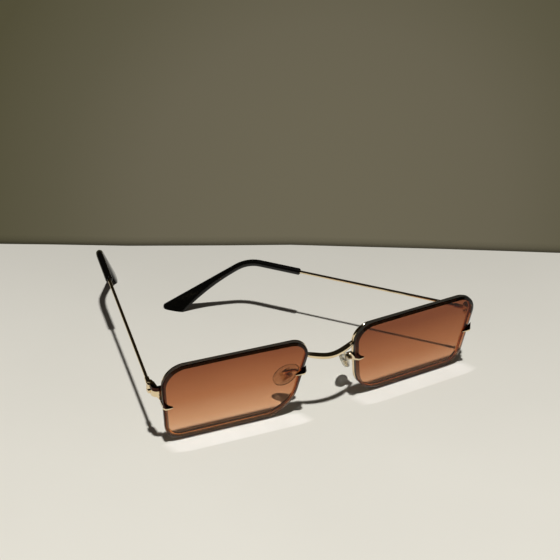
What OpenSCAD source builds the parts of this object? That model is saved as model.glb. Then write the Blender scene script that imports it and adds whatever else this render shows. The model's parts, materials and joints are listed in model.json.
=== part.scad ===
// Narrow rectangle sunglasses. Two flat bevelled lenses are held by claws in front
// of wire rims. A bowed bridge joins the rims, two pads rock on their screws, and
// two wire temples with plastic tips turn on screw hinges.
// Millimetres. The pair stands on a table at z = 0, on its lens bottoms and tips.
// The front faces -Y. Left and right are the wearer's, so left is at +X.

/* [Lenses] */
// Width of a lens at half its height
lens_w = 54.7; // [50:0.1:58]
// Height of a lens between its straight corners
lens_h = 34.4; // [30:0.1:38]
// Gap between the lenses at half their height
lens_gap = 23.6; // [21:0.1:27]
// Thickness of the lens edge
lens_edge_t = 1.2; // [1:0.1:1.8]
// Width of the bevel round the front face
bevel_w = 1.3; // [0.6:0.1:2]
// Height of the bevel in front of the lens edge
bevel_h = 0.6; // [0.3:0.1:1]
// Corner radius at the top beside the nose
top_nose_r = 7.4; // [5:0.1:10]
// Corner radius at the top beside the temple
top_temple_r = 8.6; // [6:0.1:12]
// Corner radius at the bottom beside the temple
low_temple_r = 7.2; // [6:0.1:12]
// Corner radius at the bottom beside the nose
low_nose_r = 13.8; // [8:0.1:15]
// Bow of the top edge
top_bow = 0.3; // [0.1:0.1:0.8]
// Bow of the bottom edge
low_bow = 0.6; // [0.2:0.1:0.9]
// Forward lean of the lens tops, in degrees
lens_tilt = 5.9; // [3:0.1:9]
// Backward turn of the lenses' outer ends, in degrees
face_wrap = 3.3; // [1:0.1:6]

/* [Rims] */
// Diameter of the rim wire
rim_d = 1.3; // [1:0.1:1.6]
// Distance of the rim wire's middle inside the lens edge beside the nose
rim_in_nose = 0.3; // [0.2:0.1:1.5]
// Distance of the rim wire's middle inside the lens edge beside the temple
rim_in_temple = 1; // [0.8:0.1:1.8]
// Distance of the rim wire's middle inside the top and bottom edges
rim_in_edge = 1.1; // [0.5:0.1:2]

/* [Claws] */
// Height of a claw's tab at the lens edge
claw_h = 3.8; // [3:0.1:4.4]
// Reach of a claw over the lens face
claw_reach = 3.3; // [3:0.1:5]
// Thickness of the claw's metal
claw_t = 0.7; // [0.5:0.1:0.9]
// Height of the band that runs back beside the lens
claw_band_h = 1.6; // [1.2:0.1:2.2]
// Depth of the notch in the lens for the temple-side claw
claw_notch = 0.5; // [0.3:0.1:0.6]
// Height of the nose-side claw's lower edge above the lens middle
nose_claw_v = 1.7; // [-1:0.1:3]
// Height of the temple-side claw's lower edge above the lens middle
temple_claw_v = -0.8; // [-3:0.1:0]

/* [Bridge] */
// Thickness of the bridge at its middle
bridge_d = 2.4; // [1.8:0.1:2.8]
// Thickness of the bridge at its joints with the rims
bridge_end_d = 1.6; // [1.3:0.1:2.2]
// Distance of the bridge's joints below the lens tops
bridge_below = 8.4; // [7.6:0.1:11]
// Forward bow of the bridge from its joints
bridge_bow = 2.2; // [1:0.1:3.5]
// Drop of the bridge's middle below its joints
bridge_drop = 1.9; // [0.4:0.1:2.6]

/* [Nose pads] */
// Length of a pad
pad_l = 13; // [12:0.1:14.5]
// Width of a pad
pad_w = 7.4; // [6.6:0.1:8.4]
// Thickness of a pad at its middle
pad_t = 2.7; // [2.5:0.1:3.2]
// Sideways distance of the pad screw from the lens's nose edge
pad_side = 2; // [1.4:0.1:3]
// Distance of the pad screw behind the lens plane
pad_behind = 6.2; // [5.6:0.1:7.2]
// Drop of the pad screw below the lens middle
pad_drop = 2.2; // [1.4:0.1:3.4]
// Turn of the pads towards the back, in degrees
pad_splay = 29; // [20:1:36]
// Flare of the pads towards the bottom, in degrees
pad_flare = 20; // [12:1:26]
// Forward lean of the pads' tops, in degrees
pad_lean = 42; // [34:1:48]
// Distance of the pad's middle below its screw, along the pad
pad_set = 2.3; // [1:0.1:2.8]
// Diameter of the pad arm's wire
arm_d = 0.9; // [0.8:0.05:1.1]
// Diameter of the pad screw
pad_screw_d = 0.9; // [0.8:0.05:1]

/* [End pieces and hinges] */
// Distance of each hinge screw outside the lens edge
hinge_out = 1.9; // [1.6:0.1:4]
// Distance of each hinge screw behind the lens edge
hinge_behind = 7; // [6.6:0.1:9]
// Height of the middle of the hinge above the lens middle
hinge_v = 5.6; // [4.6:0.1:6.4]
// Diameter of the hinge barrel
barrel_d = 2.6; // [2.4:0.1:3]
// Height of the hinge barrel
barrel_h = 3.6; // [3.2:0.1:4.2]
// Diameter of the hinge screw
screw_d = 1.2; // [1:0.1:1.4]
// Thickness of the end piece's strip
strip_t = 1.4; // [1.1:0.1:1.8]
// Height of the strip at the hinge
strip_h = 3.8; // [3.4:0.1:4.6]
// Drop of the strip's lower edge from the hinge to the rim
strip_drop = 1.8; // [1:0.1:2.2]

/* [Temples] */
// Distance from the hinge screw to the corner of the temple's bend
bend_y = 95; // [90:0.1:98]
// Distance from the hinge screw to the start of the tip
tip_start = 71.1; // [66:0.1:76]
// Diameter of the temple wire
wire_d = 1.3; // [1.1:0.1:1.5]
// Rise of the wearer's right temple, in degrees
right_rise_deg = 3.7; // [1:0.1:4.5]
// Rise of the wearer's left temple, in degrees
left_rise_deg = 0.1; // [-1:0.1:1]
// Inward turn of the right temple as it stands, in degrees
right_fold_deg = 8.7; // [4:0.1:12]
// Inward turn of the left temple as it stands, in degrees
left_fold_deg = 42.8; // [38:0.1:46]

/* [Tips] */
// Diameter of the tip's round sleeve
tip_d = 2.9; // [2.7:0.1:3.4]
// Length of the tip from the corner of the bend to the table
hook_l = 43; // [39:0.1:47]
// Radius of the tip's bend
bend_r = 16; // [12:0.5:20]
// Width of the paddle where it ends
paddle_w = 9.4; // [7:0.1:11]
// Thickness of the paddle where it ends
paddle_t = 2.3; // [2:0.1:2.9]
// Inward lean of the right tip about its wire, in degrees
right_lean_deg = 20.5; // [12:0.5:28]
// Inward lean of the left tip about its wire, in degrees
left_lean_deg = 31.5; // [24:0.5:40]

/* [Hidden] */

right = 0;
left = 1;

// Gap between soldered or clamped pieces of one body
seat_gap = 0.02;
// Gap between the lens and the metal round it
lens_clear = 0.08;
// Radial gap of a knuckle that turns on a screw
running_fit = 0.05;
// Gap between the faces of knuckles that turn past each other
face_gap = 0.08;
// Overrun of a cut past the face that it opens
overrun = 0.5;
// Segments of a full round
round_fn = 48;

gold = [0.83, 0.68, 0.42];
tint = [0.60, 0.36, 0.24, 0.75];
black = [0.05, 0.05, 0.05];
silicone = [0.85, 0.87, 0.84, 0.6];

// Middle of a lens, and the height at which its lowest point meets the table
lens_x = (lens_gap + lens_w) / 2;
lens_z = (lens_h / 2 + low_bow) * cos(lens_tilt);
nose_slant_share = 0.185;
temple_slant_share = 0.1;
corner_steps = 7;
edge_steps = 8;

// Depth of the rim wire's middle behind the lens edge plane
rim_depth = lens_edge_t + lens_clear + rim_d / 2;

// A place on the left lens, given outwards, upwards and to the front of its edge plane
function lens_at(u, v, front) =
    let (back = -front * cos(lens_tilt) - v * sin(lens_tilt))
    [
        lens_x + u * cos(face_wrap) - back * sin(face_wrap),
        u * sin(face_wrap) + back * cos(face_wrap),
        lens_z + v * cos(lens_tilt) - front * sin(lens_tilt)
    ];

// Where the lens edge lies at a height v, beside the nose and beside the temple
function nose_edge(v) = -(lens_w / 2 + nose_slant_share * v);
function temple_edge(v) = lens_w / 2 + temple_slant_share * v;

// The middle of the left hinge
hinge_edge = lens_at(temple_edge(hinge_v), hinge_v, 0);
hinge_x = hinge_edge[0] + hinge_out;
hinge_y = hinge_edge[1] + hinge_behind;
hinge_z = hinge_edge[2];

// The four corners of a lens outline drawn in by the given insets, as [u, v, radius]
function lens_corners(in_nose, in_temple, in_edge) =
    let (
        top = lens_h / 2 - in_edge,
        inset = max(in_nose, in_temple, in_edge)
    )
    [
        [nose_edge(top) + in_nose, top, top_nose_r - inset],
        [temple_edge(top) - in_temple, top, top_temple_r - inset],
        [temple_edge(-top) - in_temple, -top, low_temple_r - inset],
        [nose_edge(-top) + in_nose, -top, low_nose_r - inset]
    ];

function unit(v) = v / norm(v);
function flat(p) = [p[0], p[1]];

// A corner's arc as [centre, radius, start angle, sweep], where the outline runs clockwise
function corner_arc(c, i) =
    let (
        p = flat(c[i]),
        r = c[i][2],
        from = unit(flat(c[(i + 3) % 4]) - p),
        to = unit(flat(c[(i + 1) % 4]) - p),
        half = acos(from * to) / 2,
        centre = p + unit(from + to) * r / sin(half),
        start = p + from * r / tan(half) - centre,
        turn = 180 - 2 * half
    )
    [centre, r, atan2(start[1], start[0]), -turn];

function arc_point(arc, t) = arc[0] + arc[1] * [cos(arc[2] + arc[3] * t), sin(arc[2] + arc[3] * t)];

function bowed(p) =
    let (
        bow = p[1] > 0 ? top_bow : -low_bow,
        share = min(1, abs(p[0]) / (lens_w / 2))
    )
    [p[0], p[1] + bow * (1 - share * share) * abs(p[1]) / (lens_h / 2)];

// The lens outline as points: round corners joined by edges that bow outwards
function lens_outline(inset) =
    let (
        c = lens_corners(inset, inset, inset),
        arcs = [for (i = [0:3]) corner_arc(c, i)]
    )
    [
        for (i = [0:3])
            let (
                here = arcs[i],
                next = arcs[(i + 1) % 4],
                a = arc_point(here, 1),
                b = arc_point(next, 0)
            )
            each concat(
                [for (k = [0:corner_steps]) bowed(arc_point(here, k / corner_steps))],
                [for (k = [1:edge_steps - 1]) bowed(a + (b - a) * k / edge_steps)]
            )
    ];

// The faces between two rings of n points that start at the given points
function band(here, next, n) =
    [
        for (i = [0:n - 1])
            let (j = (i + 1) % n)
            each [
                [here + i, next + j, next + i],
                [here + i, here + j, next + j]
            ]
    ];

// The closed skin of a stack of rings that all have the same number of points
module skin(rings) {
    n = len(rings[0]);
    last = len(rings) - 1;
    polyhedron(
        points = [for (ring = rings) each ring],
        faces = concat(
            [[for (i = [n - 1:-1:0]) i]],
            [for (k = [0:last - 1]) each band(k * n, (k + 1) * n, n)],
            [[for (i = [0:n - 1]) last * n + i]]
        )
    );
}

// The closed skin of rings that run round a loop and meet again
module loop_skin(rings) {
    n = len(rings[0]);
    count = len(rings);
    polyhedron(
        points = [for (ring = rings) each ring],
        faces = [for (k = [0:count - 1]) each band(k * n, (k + 1) % count * n, n)]
    );
}

// Half the depth of the whole pair, from the lens tops back to the right tip's end
front_reach = -lens_at(nose_edge(lens_h / 2) + top_nose_r, lens_h / 2 + top_bow, bevel_h)[1];

// The bend that sets a tip's end on the table, from the height of its corner
function corner_z(side) = hinge_z + bend_y * sin(rise(side));
function bend_of(side) =
    let (
        a = cos(lean(side)) * cos(rise(side)),
        b = sin(rise(side))
    )
    asin(corner_z(side) / (hook_l * sqrt(a * a + b * b))) + atan2(b, a);
function rise(side) = side == left ? left_rise_deg : right_rise_deg;
function lean(side) = side == left ? left_lean_deg : right_lean_deg;
function turn(side) = side == left ? left_fold_deg : right_fold_deg;

right_hook_back =
    hook_l * (cos(bend_of(right)) * cos(right_rise_deg) + sin(bend_of(right)) * cos(right_lean_deg) * sin(right_rise_deg));
right_hook_in = hook_l * sin(bend_of(right)) * sin(right_lean_deg);
back_reach =
    hinge_y + (bend_y * cos(right_rise_deg) + right_hook_back) * cos(right_fold_deg) - right_hook_in * sin(right_fold_deg);
stand_y = (back_reach - front_reach) / 2;

// Puts a left piece in its place, or its mirror image for the right
module on_side(side) {
    translate([0, -stand_y, 0])
        if (side == right)
            mirror([1, 0, 0]) children();
        else
            children();
}

// The lens edge plane of the left lens: x outwards, y upwards, z to the front
module lens_plane() {
    translate([lens_x, 0, lens_z])
        rotate([0, 0, face_wrap])
            rotate([90 + lens_tilt, 0, 0])
                children();
}

module lens(side) {
    full = lens_outline(0);
    inner = lens_outline(bevel_w);
    color(tint)
        on_side(side)
            lens_plane()
                difference() {
                    skin([
                        [for (p = full) [p[0], p[1], -lens_edge_t]],
                        [for (p = full) [p[0], p[1], 0]],
                        [for (p = inner) [p[0], p[1], bevel_h]]
                    ]);
                    notch_low = temple_claw_v - lens_clear;
                    notch_top = temple_claw_v + claw_band_h + lens_clear;
                    translate([0, 0, -lens_edge_t - overrun])
                        linear_extrude(lens_edge_t + bevel_h + 2 * overrun)
                            polygon([
                                [temple_edge(notch_low) - claw_notch, notch_low],
                                [temple_edge(notch_low) + overrun, notch_low],
                                [temple_edge(notch_top) + overrun, notch_top],
                                [temple_edge(notch_top) - claw_notch, notch_top]
                            ]);
                }
}

rim_corner_steps = 8;
rim_sides = 14;

// The rim wire is bent round the lens outline, in the lens edge plane
module rim(side) {
    c = lens_corners(rim_in_nose, rim_in_temple, rim_in_edge);
    color(gold)
        on_side(side)
            lens_plane()
                loop_skin([
                    for (i = [0:3])
                        let (arc = corner_arc(c, i))
                        for (k = [0:rim_corner_steps])
                            let (
                                p = arc_point(arc, k / rim_corner_steps),
                                out = unit(p - arc[0])
                            )
                            [
                                for (j = [0:rim_sides - 1])
                                    let (a = 360 * j / rim_sides)
                                    [
                                        p[0] + rim_d / 2 * cos(a) * out[0],
                                        p[1] + rim_d / 2 * cos(a) * out[1],
                                        rim_d / 2 * sin(a) - rim_depth
                                    ]
                            ]
                ]);
}

// The rim's straight run beside the nose (way -1) or the temple (way +1), grown by the
// gap of a soldered joint. It cuts the seats of the pieces that are soldered there.
module rim_run(way) {
    c = lens_corners(rim_in_nose, rim_in_temple, rim_in_edge);
    from = way > 0 ? flat(c[2]) : flat(c[3]);
    to = way > 0 ? flat(c[1]) : flat(c[0]);
    translate([from[0], from[1], -rim_depth])
        rotate([0, 0, atan2(to[1] - from[1], to[0] - from[0])])
            rotate([0, 90, 0])
                cylinder(d = rim_d + 2 * seat_gap, h = norm(to - from), $fn = round_fn);
}

// Claw measures: the point and waist of the tab, and its solid ridge
claw_point_h = 0.5;
claw_waist_share = 0.5;
claw_waist_h_share = 0.4;
claw_ridge_r = 0.42;
claw_ridge_end_r = 0.18;
claw_spur = 0.2;
seat_share = 0.25;

function edge_at(way, v) = way > 0 ? temple_edge(v) : nose_edge(v);

// The outline of a claw's band between two distances outside the lens edge
module band_outline(way, low, from, to) {
    top = low + claw_band_h;
    polygon([
        [edge_at(way, low) + way * from, low],
        [edge_at(way, top) + way * from, top],
        [edge_at(way, top) + way * to, top],
        [edge_at(way, low) + way * to, low]
    ]);
}

// One claw, where way is +1 beside the temple and -1 beside the nose, and notch is the
// depth of the lens notch that it passes through. The band passes beside the lens, its
// foot is soldered to the rim, and the tab tapers to a point above a round ridge.
module claw_body(way, low, rim_in, notch) {
    top = low + claw_h;
    edge = edge_at(way, low);
    face_z = bevel_h + lens_clear;
    foot_z = -rim_depth - rim_d / 2;
    from = lens_clear - notch;
    out = from + claw_t;
    tip = edge - way * claw_reach;
    waist = edge - way * claw_reach * claw_waist_share;
    difference() {
        union() {
            translate([0, 0, face_z])
                linear_extrude(claw_t)
                    polygon([
                        [edge + way * (out + claw_spur), low],
                        [tip, low],
                        [tip, low + claw_point_h],
                        [waist, low + claw_h * claw_waist_h_share],
                        [edge_at(way, top), top],
                        [edge_at(way, low + claw_band_h) + way * out, low + claw_band_h]
                    ]);
            translate([edge + way * out, low + claw_ridge_r, face_z + claw_ridge_r])
                rotate([0, -90 * way, 0])
                    cylinder(
                        r1 = claw_ridge_r, r2 = claw_ridge_end_r,
                        h = claw_reach + out, $fn = round_fn
                    );
            translate([0, 0, foot_z])
                linear_extrude(face_z + claw_t - foot_z)
                    band_outline(way, low, from, out);
            translate([0, 0, foot_z])
                linear_extrude(rim_d)
                    band_outline(way, low, rim_d * seat_share - rim_in, out);
        }
        rim_run(way);
    }
}

module nose_claw(side) {
    color(gold)
        on_side(side)
            lens_plane()
                claw_body(-1, nose_claw_v, rim_in_nose, 0);
}

module temple_claw(side) {
    color(gold)
        on_side(side)
            lens_plane()
                claw_body(1, temple_claw_v, rim_in_temple, claw_notch);
}

// The bridge's left joint on the rim, and its middle
bridge_v = lens_h / 2 - bridge_below;
bridge_foot = lens_at(nose_edge(bridge_v) + rim_in_nose - rim_d * seat_share, bridge_v, -rim_depth);
bridge_steps = 28;
bridge_sides = 16;
// The bow rises fast beside the joints, so that the ends turn in like a goose's neck
bridge_curl_share = 0.75;
bridge_hump = 0.5;

// A place on the bridge, where s runs from -1 at the right joint to +1 at the left one
function bridge_at(s) =
    let (arch = pow(1 - s * s, bridge_curl_share))
    [
        bridge_foot[0] * s,
        bridge_foot[1] - bridge_bow * arch,
        bridge_foot[2] - bridge_drop * (1 - s * s) + bridge_hump * sin(180 * abs(s)) * abs(s)
    ];
function bridge_r(s) =
    let (share = pow(abs(s), 6))
    bridge_d / 2 * (1 - share) + bridge_end_d / 2 * share;

// A ring of points of radius r round p, square to the way that the path runs
function ring_at(p, way, r, sides) =
    let (
        side_way = unit(cross(way, [0, 0, 1])),
        up_way = cross(side_way, way)
    )
    [
        for (i = [0:sides - 1])
            let (a = 360 * i / sides)
            p + r * cos(a) * side_way + r * sin(a) * up_way
    ];

// The room that the rim and the lens take from the bridge's end
module bridge_seat() {
    lens_plane() {
        rim_run(-1);
        translate([0, 0, -lens_edge_t - lens_clear])
            linear_extrude(lens_edge_t + bevel_h + 2 * lens_clear)
                polygon(lens_outline(-lens_clear));
        translate([0, 0, -rim_depth])
            linear_extrude(rim_depth)
                polygon(lens_outline(rim_in_nose));
    }
}

module bridge() {
    // Steps close up towards the joints, where the path turns most
    s = [for (k = [0:bridge_steps]) -cos(180 * k / bridge_steps)];
    path = [for (v = s) bridge_at(v)];
    color(gold)
        translate([0, -stand_y, 0])
            difference() {
                skin([
                    for (k = [0:bridge_steps])
                        let (
                            before = path[max(0, k - 1)],
                            after = path[min(bridge_steps, k + 1)]
                        )
                        ring_at(path[k], unit(after - before), bridge_r(s[k]), bridge_sides)
                ]);
                bridge_seat();
                mirror([1, 0, 0]) bridge_seat();
            }
}

// The strip of the end piece runs out behind the lens and turns back to the hinge
strip_gap = 0.5;
strip_low_v = hinge_v - strip_h / 2 - strip_drop;
strip_front = lens_at(temple_edge(strip_low_v), strip_low_v, -lens_edge_t)[1] + strip_gap;
strip_rim_x = lens_at(temple_edge(hinge_v) - rim_in_temple, hinge_v, -rim_depth)[0];
strip_in = strip_rim_x + rim_d * seat_share;
strip_out = hinge_x + strip_t / 2;
strip_r = 2.2;
strip_in_r = 0.3;
barrel_clear = 0.3;
strip_back = hinge_y - barrel_d / 2 - barrel_clear;

// A block seen from above that runs from the rim to the hinge, with its outer corner round
module strip_corner(out, low, r, past) {
    difference() {
        translate([strip_in - past, low])
            square([out - strip_in + past, strip_back - low + past]);
        difference() {
            translate([out - r, low - overrun])
                square([r + overrun, r + overrun]);
            translate([out - r, low + r])
                circle(r = r, $fn = round_fn);
        }
    }
}

module end_piece(side) {
    color(gold)
        on_side(side)
            difference() {
                intersection() {
                    translate([0, 0, hinge_z - strip_h / 2 - strip_drop])
                        linear_extrude(strip_h + strip_drop)
                            difference() {
                                strip_corner(strip_out, strip_front, strip_r, 0);
                                strip_corner(strip_out - strip_t, strip_front + strip_t, strip_in_r, overrun);
                            }
                    // Side view of the strip, which narrows from the rim to the hinge
                    translate([0, strip_back + overrun, hinge_z])
                        rotate([90, 0, 0])
                            linear_extrude(strip_back - strip_front + 2 * overrun)
                                polygon([
                                    [strip_in - overrun, -strip_h / 2 - strip_drop],
                                    [strip_in + strip_t / 2, -strip_h / 2 - strip_drop],
                                    [strip_out - strip_t, -strip_h / 2],
                                    [strip_out + overrun, -strip_h / 2],
                                    [strip_out + overrun, strip_h / 2],
                                    [strip_in - overrun, strip_h / 2]
                                ]);
                }
                lens_plane() rim_run(1);
            }
}

// The barrel has two knuckles on the front and one, between them, on the temple
knuckle_h = (barrel_h - 2 * face_gap) / 3;
leaf_t = 0.8;
leaf_l = strip_back - strip_front - strip_t - strip_in_r - seat_gap;
screw_head_d = 2;
screw_head_h = 0.5;
slot_w = 0.3;
slot_h = 0.25;

module hinge_front(side) {
    leaf_x = strip_out - strip_t - leaf_t;
    color(gold)
        on_side(side)
            difference() {
                union() {
                    translate([leaf_x, strip_back - leaf_l, hinge_z - barrel_h / 2])
                        cube([leaf_t, leaf_l, barrel_h]);
                    for (level = [0, 2]) {
                        low = hinge_z - barrel_h / 2 + level * (knuckle_h + face_gap);
                        translate([hinge_x, hinge_y, low])
                            cylinder(d = barrel_d, h = knuckle_h, $fn = round_fn);
                        translate([leaf_x, strip_back - leaf_t, low])
                            cube([leaf_t, hinge_y - strip_back + leaf_t, knuckle_h]);
                        translate([leaf_x, strip_back + seat_gap, low])
                            cube([hinge_x + barrel_d / 2 - leaf_x, hinge_y - strip_back - seat_gap, knuckle_h]);
                    }
                }
                translate([hinge_x, hinge_y, hinge_z - barrel_h / 2 - overrun])
                    cylinder(d = screw_d + 2 * seat_gap, h = barrel_h + 2 * overrun, $fn = round_fn);
            }
}

module hinge_screw(side) {
    top = hinge_z + barrel_h / 2;
    color(gold)
        on_side(side)
            translate([hinge_x, hinge_y, 0])
                difference() {
                    union() {
                        translate([0, 0, hinge_z - barrel_h / 2])
                            cylinder(d = screw_d, h = barrel_h + seat_gap, $fn = round_fn);
                        translate([0, 0, top + seat_gap])
                            cylinder(d = screw_head_d, h = screw_head_h, $fn = round_fn);
                    }
                    translate([-screw_head_d, -slot_w / 2, top + seat_gap + screw_head_h - slot_h])
                        cube([2 * screw_head_d, slot_w, slot_h + overrun]);
                }
}

// The left temple's own frame: y along the temple, z up, at the hinge's middle
module on_temple(side) {
    on_side(side)
        translate([hinge_x, hinge_y, hinge_z])
            rotate([0, 0, turn(side)])
                children();
}

// The tilted frame of the wire, turned about it so that the bend lies in the plane x = 0
module on_wire(side) {
    on_temple(side)
        rotate([rise(side), 0, 0])
            rotate([0, lean(side), 0])
                children();
}

ferrule_d = 1.9;
ferrule_start = 2;
ferrule_l = 2.8;
neck_w = 1.1;

module hinge_back(side) {
    color(gold)
        difference() {
            union() {
                on_temple(side)
                    translate([0, 0, -knuckle_h / 2])
                        cylinder(d = barrel_d, h = knuckle_h, $fn = round_fn);
                on_temple(side)
                    translate([-neck_w / 2, 0, -knuckle_h / 2])
                        cube([neck_w, ferrule_start + ferrule_l / 4, knuckle_h]);
                on_wire(side)
                    translate([0, ferrule_start, 0])
                        rotate([-90, 0, 0])
                            cylinder(d = ferrule_d, h = ferrule_l, $fn = round_fn);
            }
            on_temple(side)
                translate([0, 0, -barrel_h])
                    cylinder(d = screw_d + 2 * running_fit, h = 2 * barrel_h, $fn = round_fn);
            on_wire(side)
                translate([0, ferrule_start + ferrule_l / 4, 0])
                    rotate([-90, 0, 0])
                        cylinder(d = wire_d + 2 * seat_gap, h = ferrule_l, $fn = round_fn);
        }
}

// How far the bend's tangent points lie from its corner, and how far the wire goes on past it
function bend_tangent(side) = bend_r * tan(bend_of(side) / 2);
core_l = 12;
core_end_clear = 0.3;

wire_sides = 16;
bend_steps = 8;

// The place on the wire's middle line at a distance from the hinge, as [y, z, angle below level]
function wire_at(side, travel) =
    let (
        bend = bend_of(side),
        arc_y = bend_y - bend_tangent(side),
        arc_l = bend_r * bend * PI / 180,
        a = min(bend, max(0, (travel - arc_y) / arc_l * bend)),
        past = max(0, travel - arc_y - arc_l)
    )
    [
        min(travel, arc_y) + bend_r * sin(a) + past * cos(a),
        -bend_r * (1 - cos(a)) - past * sin(a),
        a
    ];
function arc_start(side) = bend_y - bend_tangent(side);
function arc_end(side) = arc_start(side) + bend_r * bend_of(side) * PI / 180;

// The wire from start, round the bend and on past it, in the wire's own frame
module bent_wire(side, d, start, past) {
    stops = concat(
        [start],
        [for (k = [0:bend_steps]) arc_start(side) + (arc_end(side) - arc_start(side)) * k / bend_steps],
        [arc_end(side) + past]
    );
    skin([
        for (travel = stops)
            let (p = wire_at(side, travel))
            [
                for (i = [0:wire_sides - 1])
                    let (t = 360 * i / wire_sides)
                    [
                        d / 2 * cos(t),
                        p[0] + d / 2 * sin(t) * sin(p[2]),
                        p[1] + d / 2 * sin(t) * cos(p[2])
                    ]
            ]
    ]);
}

module temple_wire(side) {
    color(gold)
        on_wire(side)
            bent_wire(side, wire_d, ferrule_start + ferrule_l / 4 + seat_gap, core_l);
}

tip_sides = 20;
nose_steps = 4;
nose_r = 0.75;
tip_bend_steps = 10;
paddle_steps = 12;
end_steps = 4;
paddle_curve_share = 2;
end_r = 1.2;

// A ring of the tip, with its reach above and below the wire's middle and its half thickness
function tip_ring(side, travel, above, below, half_t) =
    let (p = wire_at(side, travel))
    [
        for (i = [0:tip_sides - 1])
            let (
                t = 360 * i / tip_sides,
                h = sin(t) > 0 ? above * sin(t) : below * sin(t)
            )
            [half_t * cos(t), p[0] + h * sin(p[2]), p[1] + h * cos(p[2])]
    ];

// The tip is a loft of its round nose, the sleeve, the bend and the paddle that widens downwards
module tip_body(side) {
    r = tip_d / 2;
    from = arc_start(side);
    to = arc_end(side);
    paddle_l = hook_l - bend_tangent(side);
    widening = paddle_w - tip_d;
    skin(concat(
        [
            for (k = [0:nose_steps])
                let (
                    a = 90 * k / nose_steps,
                    reach = r - nose_r * (1 - sin(a))
                )
                tip_ring(side, tip_start + nose_r * (1 - cos(a)), reach, reach, reach)
        ],
        [
            for (k = [0:tip_bend_steps])
                tip_ring(side, from + (to - from) * k / tip_bend_steps, r, r, r)
        ],
        [
            for (k = [1:paddle_steps])
                let (
                    share = k / paddle_steps,
                    flare = pow(share, paddle_curve_share)
                )
                tip_ring(
                    side, to + (paddle_l - end_r) * share, r,
                    r + widening * flare, r + (paddle_t / 2 - r) * share
                )
        ],
        [
            for (k = [1:end_steps])
                let (
                    a = 90 * k / end_steps,
                    draw = end_r * (1 - cos(a))
                )
                tip_ring(
                    side, to + paddle_l - end_r + end_r * sin(a), r - draw,
                    r + widening - draw, paddle_t / 2 - draw / 2
                )
        ]
    ));
}

module temple_tip(side) {
    table_size = 2 * hook_l;
    color(black)
        difference() {
            on_wire(side)
                difference() {
                    tip_body(side);
                    bent_wire(side, wire_d + 2 * seat_gap, tip_start - overrun, core_l + core_end_clear);
                }
            on_temple(side)
                translate([-table_size / 2, bend_y, -hinge_z - table_size])
                    cube(table_size);
        }
}

// The left pad's frame at its screw: z along the pad, y across it, -x towards the nose
module on_pad(side) {
    on_side(side)
        translate([pad_x, pad_y, pad_z])
            rotate([0, 0, -pad_splay])
                rotate([0, -pad_flare, 0])
                    rotate([pad_lean, 0, 0])
                        children();
}

function turned_x(p, a) = [p[0], p[1] * cos(a) - p[2] * sin(a), p[1] * sin(a) + p[2] * cos(a)];
function turned_y(p, a) = [p[0] * cos(a) + p[2] * sin(a), p[1], p[2] * cos(a) - p[0] * sin(a)];
function turned_z(p, a) = [p[0] * cos(a) - p[1] * sin(a), p[0] * sin(a) + p[1] * cos(a), p[2]];
pad_x = lens_gap / 2 + pad_side;
pad_y = pad_behind;
pad_z = lens_z - pad_drop;
function pad_at(p) =
    [pad_x, pad_y, pad_z] + turned_z(turned_y(turned_x(p, pad_lean), -pad_flare), -pad_splay);

// The box is a channel of metal that straddles the eye of the pad's core
box_l = 1.9;
box_w = 2.5;
box_wall = 0.55;
box_floor = 0.6;
box_reach = 0.8;
box_back = 1.75;
eye_t = box_w - 2 * box_wall - 2 * face_gap;
eye_d = 1.8;

module pad_box(side) {
    color(gold)
        on_pad(side)
            difference() {
                translate([-box_reach, -box_w / 2, -box_l / 2])
                    cube([box_reach + box_back, box_w, box_l]);
                translate([-box_reach - overrun, -box_w / 2 + box_wall, -box_l / 2 - overrun])
                    cube([box_reach + box_back - box_floor + overrun, box_w - 2 * box_wall, box_l + 2 * overrun]);
                translate([0, -box_w / 2 - overrun, 0])
                    rotate([-90, 0, 0])
                        cylinder(d = pad_screw_d + 2 * seat_gap, h = box_w + 2 * overrun, $fn = round_fn);
            }
}

pad_head_d = 1.5;
pad_head_h = 0.4;

module pad_screw(side) {
    color(gold)
        on_pad(side)
            difference() {
                union() {
                    translate([0, -box_w / 2, 0])
                        rotate([-90, 0, 0])
                            cylinder(d = pad_screw_d, h = box_w, $fn = round_fn);
                    translate([0, -box_w / 2 - seat_gap - pad_head_h, 0])
                        rotate([-90, 0, 0])
                            cylinder(d = pad_head_d, h = pad_head_h, $fn = round_fn);
                    translate([0, -box_w / 2 - seat_gap - slot_h, 0])
                        rotate([-90, 0, 0])
                            cylinder(d = pad_screw_d, h = seat_gap + 2 * slot_h, $fn = round_fn);
                }
                translate([-pad_head_d, -box_w / 2 - seat_gap - pad_head_h - overrun, -slot_w / 2])
                    cube([2 * pad_head_d, overrun + slot_h, slot_w]);
            }
}

// The core's eye turns on the screw, and its flat shoe lies inside the pad
shoe_l = 5;
shoe_w = 3.4;
shoe_t = 0.6;
pad_out = 2.7;
shoe_out = pad_out - shoe_t / 2;

module core_shape(gap = 0) {
    rotate([-90, 0, 0])
        translate([0, 0, -eye_t / 2 - gap])
            cylinder(d = eye_d + 2 * gap, h = eye_t + 2 * gap, $fn = round_fn);
    translate([-shoe_out - gap, -eye_t / 2 - gap, -eye_d / 2 - gap])
        cube([shoe_out + gap, eye_t + 2 * gap, eye_d + 2 * gap]);
    translate([-shoe_out - shoe_t / 2 - gap, -shoe_w / 2 - gap, -pad_set - shoe_l / 2 - gap])
        cube([shoe_t + 2 * gap, shoe_w + 2 * gap, shoe_l + 2 * gap]);
}

module pad_core(side) {
    color(gold)
        on_pad(side)
            difference() {
                core_shape();
                translate([0, -box_w, 0])
                    rotate([-90, 0, 0])
                        cylinder(d = pad_screw_d + 2 * running_fit, h = 2 * box_w, $fn = round_fn);
            }
}

pad_points = 28;
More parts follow.
